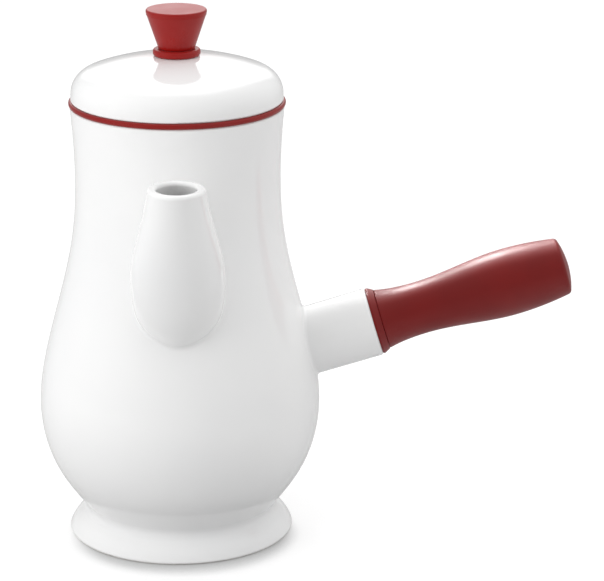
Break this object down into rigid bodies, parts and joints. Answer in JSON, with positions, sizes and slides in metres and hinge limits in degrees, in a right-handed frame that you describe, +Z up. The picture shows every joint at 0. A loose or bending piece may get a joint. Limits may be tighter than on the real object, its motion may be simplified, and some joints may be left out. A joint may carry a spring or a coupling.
{
  "type": "chocolate pot",
  "caption": "Lidded porcelain hot-chocolate pot with an upright front spout, a straight red side handle set across from it and a red-knobbed lid that lifts off.",
  "frame": {"origin": "centre of the circle that the foot stands on", "axes": "+Z up along the pot's axis, the spout along -Y, the handle along +X and rising"},
  "size_m": [0.232, 0.1464, 0.2328],
  "materials": {
    "porcelain": "clear gloss glaze over white porcelain",
    "red_silicone": "satin moulded silicone",
    "clear_silicone": "smooth translucent silicone",
    "nylon_core": "moulded glass-filled nylon",
    "brass_insert": "turned",
    "steel": "turned stainless",
    "cement": "cast porcelain cement"
  },
  "bodies": {
    "pot": {"pot_body": "porcelain", "spout": "porcelain", "handle_socket": "porcelain", "socket_cement": "cement", "socket_anchor": "steel", "handle_stud": "steel", "handle_collar": "red_silicone", "handle_grip": "red_silicone", "grip_core": "nylon_core", "grip_insert": "brass_insert"},
    "lid_seal": {"lid_seal": "red_silicone"},
    "lid": {"lid": "porcelain", "knob_collar": "red_silicone", "knob": "red_silicone", "knob_core": "nylon_core", "knob_insert": "brass_insert", "knob_gasket": "clear_silicone", "knob_washer": "steel", "knob_screw": "steel"}
  },
  "joints": [
    {"name": "lid_lift", "type": "slide", "parent": "pot", "child": "lid_seal", "axis": [0, 0, 1], "range_m": [0, 0.06]},
    {"name": "lid_turn", "type": "hinge", "parent": "lid_seal", "child": "lid", "pos_m": [0, 0, 0.1938], "axis": [0, 0, 1], "continuous": true}
  ]
}
